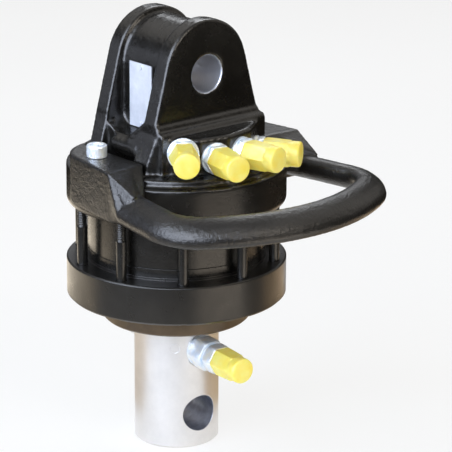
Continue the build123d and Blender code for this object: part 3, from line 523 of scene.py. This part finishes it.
def make_floor():
    """Pale floor: white where it is seen, except for the object's shadow."""
    f = Finish("pale_floor")
    tints = [(0.3, (0.90, 0.90, 0.89)), (0.7, (0.94, 0.94, 0.93))]
    f.link(f.ramp(f.noise(3), tints), "Base Color")
    f.set(Roughness=0.9, Specular_IOR_Level=0.1)
    path = f.add("LightPath")
    seen = path.outputs["Is Camera Ray"]
    for ray in ("Is Glossy Ray", "Is Transmission Ray"):
        seen = f.math("MAXIMUM", seen, path.outputs[ray])
    share = f.math("MULTIPLY", seen, floor_glow_share)
    glow = f.add("Emission", {"Strength": 1.0})
    inputs = {0: share, 1: f.shader.outputs["BSDF"], 2: glow.outputs["Emission"]}
    f.show(f.add("MixShader", inputs).outputs["Shader"])
    corners = [(x * floor_half, y * floor_half, cad_box[0][2])
               for x, y in ((-1, -1), (1, -1), (1, 1), (-1, 1))]
    stage_mesh("floor", corners, [(0, 1, 2, 3)], f.material)


def dress(obj, material):
    """Give an object one material."""
    obj.data.materials.clear()
    obj.data.materials.append(material)


def stand_in(obj, node, body, slot_name):
    """Let a detailed piece stand for a CAD node, in the finish of that node's slot."""
    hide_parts(node)
    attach(obj, body)
    dress(obj, finishes[slot_name])


def add_blocks(obj, blocks):
    """Add closed blocks to a piece's mesh: (points in mm, faces)."""
    points = [tuple(vertex.co) for vertex in obj.data.vertices]
    faces = [tuple(polygon.vertices) for polygon in obj.data.polygons]
    for more_points, more_faces in blocks:
        first = len(points)
        points += [tuple(c / 1000 for c in point) for point in more_points]
        faces += [tuple(first + k for k in face) for face in more_faces]
    obj.data = bpy.data.meshes.new(obj.name)
    obj.data.from_pydata(points, [], faces)


def cast_copy(node, name, voxel, rounds, skin, blocks, crisp_below=None):
    """Copy of a CAD node as a casting, and the places of its points.

    A remesh melts the blocks in and smoothing runs the edges together, as often as rounds
    says: the first count holds below the height crisp_below, and the last one elsewhere.
    skin(place) then raises each point along its normal."""
    obj = bpy.data.objects.new(name, nodes[node].data.copy())
    bpy.context.scene.collection.objects.link(obj)
    add_blocks(obj, blocks)
    remesh = obj.modifiers.new("even", "REMESH")
    remesh.mode = "VOXEL"
    remesh.voxel_size = voxel
    soften = obj.modifiers.new("soften", "SMOOTH")
    soften.factor = 0.5
    versions = []
    for count in rounds:
        soften.iterations = count
        ready = obj.evaluated_get(bpy.context.evaluated_depsgraph_get())
        mesh = bpy.data.meshes.new_from_object(ready)
        places = np.empty(3 * len(mesh.vertices), np.float32)
        mesh.vertices.foreach_get("co", places)
        versions.append(places.reshape(-1, 3))
    normals = np.empty(3 * len(mesh.vertices), np.float32)
    mesh.vertex_normals.foreach_get("vector", normals)
    obj.modifiers.clear()
    obj.data = mesh
    places = versions[-1].copy()
    if crisp_below is not None:
        share = np.clip((places[:, 2:] - crisp_below) / crisp_fade, 0, 1)
        places = versions[0] * (1 - share) + places * share
    heights = np.array([skin(Vector(place)) for place in places], np.float32)
    places += normals.reshape(-1, 3) * heights[:, None]
    return obj, places


def true_up(places, axes, radius, low, high, reach):
    """Bring a turned cylinder's points back to its radius, between two places along its axis."""
    a, b, along = axes
    span = np.hypot(places[:, a], places[:, b])
    turned = np.abs(span - radius) < reach
    turned &= (places[:, along] > low) & (places[:, along] < high)
    places[turned, a] *= radius / span[turned]
    places[turned, b] *= radius / span[turned]


def settle(obj, places):
    """Write the places of a casting's points and shade it smooth."""
    obj.data.vertices.foreach_set("co", places.ravel())
    obj.data.polygons.foreach_set("use_smooth", [True] * len(obj.data.polygons))
    obj.data.update()


def uneven(place, coarse, fine):
    """Height of a casting's skin; coarse and fine are (cells per metre, height in metres)."""
    return noise.noise(place * coarse[0]) * coarse[1] + noise.noise(place * fine[0]) * fine[1]


def head_skin(place):
    """Cast skin of the head, left off its turned disc and its bore."""
    in_bore = Vector((place.x, place.z)).length < bore_machined_radius
    if place.z < head_machined_z or in_bore:
        return 0.0
    return uneven(place, *head_grain)


def guard_skin(place):
    """Cast skin of the hose guard."""
    return uneven(place, *guard_grain)


def ear_side(z):
    """Half width of the ears' sloped side at a height, in mm, with a step clear of the bosses."""
    return min(ear_half_width + (ear_top - z) * ear_slope - ear_inset, ear_limit)


def flank_side(z):
    """Half width of the block's flank under the front ear, in mm."""
    return flank_half_width + (flank_top - z) * flank_slope


def slabs(outline, side_of, inner):
    """Block on each side, from a sloped side's x, side_of(z), to a plane: outline is (y, z)."""
    count = len(outline)
    blocks = []
    for way in (-1, 1):
        points = [(way * side_of(z), y, z) for y, z in outline]
        points += [(way * inner, y, z) for y, z in outline]
        faces = [tuple(range(count)), tuple(reversed(range(count, 2 * count)))]
        faces += [(k, k + count, (k + 1) % count + count, (k + 1) % count) for k in range(count)]
        if way > 0:
            faces = [tuple(reversed(face)) for face in faces]
        blocks.append((points, faces))
    return blocks


def hull(points):
    """Closed block round some points in mm."""
    work = bmesh.new()
    for point in points:
        work.verts.new(point)
    bmesh.ops.convex_hull(work, input=work.verts[:], use_existing_faces=False)
    loose = [vert for vert in work.verts if not vert.link_faces]
    bmesh.ops.delete(work, geom=loose, context="VERTS")
    work.verts.index_update()
    corners = [tuple(vert.co) for vert in work.verts]
    faces = [tuple(vert.index for vert in face.verts) for face in work.faces]
    work.free()
    return corners, faces


def make_castings():
    """Head and hose guard as castings, with bare steel in the head's bore."""
    feet = slabs(ear_foot, ear_side, ear_foot_inner)
    feet += slabs(flank_foot, flank_side, flank_foot_inner)
    head, places = cast_copy("head_casting", "cast_head", head_voxel, head_rounds, head_skin,
                             feet, head_crisp_z)
    for cylinder in head_cylinders:
        true_up(places, *cylinder)
    settle(head, places)
    stand_in(head, "head_casting", "housing", "black_paint")
    head.data.materials.append(finishes["bore_steel"])
    for face in head.data.polygons:
        if hypot(face.center.x, face.center.z) < bore_face_radius:
            face.material_index = 1
    ramps = [hull([(way * x, y, z) for x, y, z in ramp_facet]) for way in (-1, 1)]
    guard, places = cast_copy("hose_guard", "cast_hose_guard", guard_voxel, guard_rounds,
                              guard_skin, ramps)
    settle(guard, places)
    stand_in(guard, "hose_guard", "housing", "guard_paint")


def turned(outline):
    """Rings of a round outline: (along, radius) in mm."""
    return [(along, radius, radius) for along, radius in outline]


def hexagon(start, end, half, corner=1.0):
    """Rings of a hexagon with both ends' corners turned down."""
    top = half / cos(pi / 6) - corner_cut
    rim = half - end_inset
    round_half = half + corner_cut
    return [(start, rim, rim), (start + end_step, half, round_half), (start + corner, half, top),
            (end - corner, half, top), (end - end_step, half, round_half), (end, rim, rim)]


def moved(rings, base):
    """Rings farther along their axis."""
    return [(base + along, half, limit) for along, half, limit in rings]


def ring_radius(turn, half, limit):
    """Radius at a turn of a hexagon that stays within a limit, which is a circle where the
    limit is no more than half its width across flats."""
    if limit <= half:
        return limit
    flat = half / cos((turn + pi / 6) % (pi / 3) - pi / 6)
    return (flat ** -hex_sharpness + limit ** -hex_sharpness) ** (-1 / hex_sharpness)


def spun(name, rings, places, steps, wave=None):
    """Closed pieces of one outline, one at each place: a matrix with Z along the outline's axis.

    rings are (along, half across flats, limit) in mm, as ring_radius takes them, and
    wave(turn, along, radius) gives another radius."""
    points, faces = [], []
    for matrix in places:
        first = len(points)
        for along, half, limit in rings:
            for k in range(steps):
                turn = 2 * pi * k / steps
                radius = ring_radius(turn, half, limit)
                if wave:
                    radius = wave(turn, along, radius)
                point = Vector((radius * cos(turn), radius * sin(turn), along)) / 1000
                points.append(matrix @ point)
        for ring in range(len(rings) - 1):
            low = first + ring * steps
            for k in range(steps):
                after = (k + 1) % steps
                faces.append((low + k, low + after, low + steps + after, low + steps + k))
        faces.append(tuple(first + k for k in reversed(range(steps))))
        last = first + (len(rings) - 1) * steps
        faces.append(tuple(last + k for k in range(steps)))
    mesh = bpy.data.meshes.new(name)
    mesh.from_pydata(points, [], faces)
    mesh.polygons.foreach_set("use_smooth", [True] * len(mesh.polygons))
    mesh.set_sharp_from_angle(angle=radians(sharp_angle))
    obj = bpy.data.objects.new(name, mesh)
    bpy.context.scene.collection.objects.link(obj)
    return obj


def outward(turn, height):
    """Place of a fitting at a height in mm: Z points away from the part's axis and X up.

    turn is in degrees from the front."""
    way = Vector((sin(radians(turn)), -cos(radians(turn)), 0))
    up = Vector((0, 0, 1))
    axes = Matrix((up, way.cross(up), way)).transposed().to_4x4()
    return Matrix.Translation((0, 0, height / 1000)) @ axes


def upright(x, y):
    """Place of a screw that stands up at a point in mm."""
    return Matrix.Translation((x / 1000, y / 1000, 0))


def make_fitting(look, node, number, body, place, rings, stem_start):
    """Adapter with its stem, and the cap pushed over it, for two CAD nodes."""
    rings = rings + moved(turned(stem_outline), stem_start)
    adapter = spun(f"{look}_adapter_{number}", rings, [place], adapter_steps)
    stand_in(adapter, f"{node}_adapter_{number}", body, "zinc")
    cap = spun(f"{look}_cap_{number}", moved(cap_outline, stem_start), [place], cap_steps)
    stand_in(cap, f"{node}_cap_{number}", body, "yellow_cap")


def make_fittings():
    """Port adapters and caps in the block and on the shaft."""
    nut_end = 72.0
    rings = turned([(52.4, 7.0), (53.4, 7.9), (66.0, 7.9)]) + hexagon(66.0, nut_end, 11.0)
    middle = (len(port_heights) - 1) / 2
    for k, height in enumerate(port_heights):
        place = outward((k - middle) * facet_pitch, height)
        make_fitting("block", "port", k + 1, "housing", place, rings, nut_end)
    nut_end = 63.0
    rings = turned([(20.0, 7.0), (21.0, 7.9), (34.5, 7.9)]) + hexagon(34.5, 50.5, 12.0, 1.4)
    rings += turned([(50.6, 9.5), (52.4, 9.5)]) + hexagon(52.5, nut_end, 11.0, 1.4)
    for number, turn in ((1, shaft_turn), (2, shaft_turn + 180)):
        place = outward(turn, shaft_port_height)
        make_fitting("swivel", "shaft", number, "rotor", place, rings, nut_end)


def knurl(turn, along, radius):
    """Grip round the head of the guard's screws."""
    if radius > knurl_inner and knurl_low < along < knurl_high:
        return radius + knurl_height * cos(knurl_teeth * turn)
    return radius


def thread(turn, along, radius):
    """Helical thread of the tie bolts."""
    if not thread_low < along < thread_high:
        return radius
    phase = (along / thread_pitch - turn / (2 * pi)) % 1
    return radius + thread_height * (0.5 - abs(2 * phase - 1))


def make_screws():
    """Knurled socket screws of the guard and the tie bolts with their threads."""
    rings = turned([(-94.0, 4.0), (-93.0, 5.0), (-62.2, 5.0), (-62.2, 7.6), (-61.8, 8.0),
                    (-61.4, 8.0), (-61.2, 8.0), (-54.0, 8.0), (-53.8, 8.0), (-53.2, 7.9),
                    (-52.5, 7.5), (-52.2, 6.9), (-52.2, 5.0)])
    rings += [(-52.6, 4.2, 4.5), (-53.0, 4.0, 4.6), (-57.2, 4.0, 4.6)]
    rings += turned([(-57.3, 2.0), (-57.8, 0.4)])
    places = [upright(way * guard_screw_x, guard_screw_y) for way in (-1, 1)]
    screws = spun("guard_cap_screws", rings, places, screw_steps, knurl)
    stand_in(screws, "guard_screws", "housing", "zinc")

    rings = turned([(-186.6, 5.9), (-186.2, 6.5), (-179.2, 6.5), (-178.6, 6.0), (-178.6, 4.2),
                    (-124.4, 4.2), (-123.6, 4.15), (-123.1, thread_radius)])
    count = int((thread_high - thread_low) / thread_pitch * thread_steps)
    rings += turned([(thread_low + (thread_high - thread_low) * k / count, thread_radius)
                     for k in range(count + 1)])
    rings += turned([(-95.4, thread_radius), (-95.0, 3.4)])
    places = []
    for k in range(tie_bolt_count):
        turn = radians(first_bolt_turn + 360 * k / tie_bolt_count)
        places.append(upright(tie_bolt_circle * cos(turn), tie_bolt_circle * sin(turn)))
    bolts = spun("threaded_tie_bolts", rings, places, bolt_steps, thread)
    stand_in(bolts, "tie_bolts", "housing", "bolt_black")


bpy.context.scene.view_settings.view_transform = "Standard"
make_camera()
make_world()
make_lights()
make_cards()
make_floor()

finishes = {
    "black_paint": black_enamel(
        "gloss_black", patch_tone=(0.0035, 0.0032, 0.0028), thick=(0.010, 0.009, 0.0075),
        roughness=(0.18, 0.34), peel=(900, 0.00005), cast=(420, 0.00007), edge=0.0006),
    "guard_paint": black_enamel(
        "cast_black", patch_tone=(0.005, 0.0048, 0.0045), thick=(0.013, 0.012, 0.011),
        roughness=(0.22, 0.40), peel=(1050, 0.00026), cast=(430, 0.00027), edge=0.0008),
    "bolt_black": black_enamel(
        "bolt_black", patch_tone=(0.008, 0.0075, 0.007), thick=(0.016, 0.015, 0.013),
        roughness=(0.18, 0.32), peel=(900, 0.00003), cast=(300, 0.00005), edge=0.0004),
    "bare_plate": bare_plate("plate_silver"),
    "zinc": zinc("zinc_plating"),
    "yellow_cap": yellow_plastic_painted_glow("yellow_plastic_painted_glow"),
    "shaft_steel": turned_steel("shaft_steel", (0.80, 0.775, 0.75), marks=0.12),
    "bore_steel": plain("bore_steel", (0.60, 0.60, 0.62), metallic=1.0, roughness=0.48),
    "ground_steel": turned_steel("inner_steel", (0.5, 0.5, 0.51), marks=0.1),
    "bronze": plain("bronze", (0.55, 0.36, 0.16), metallic=1.0, roughness=0.35),
    "seal_rubber": plain("seal_rubber", (0.02, 0.02, 0.02), metallic=0.0, roughness=0.6),
}
for part in frame["record"]["subparts"]:
    dress(nodes[part["node"]], finishes[part["material_slot"]])
dress(nodes["base_ring"], base_enamel("base_black"))

make_castings()
make_fittings()
make_screws()
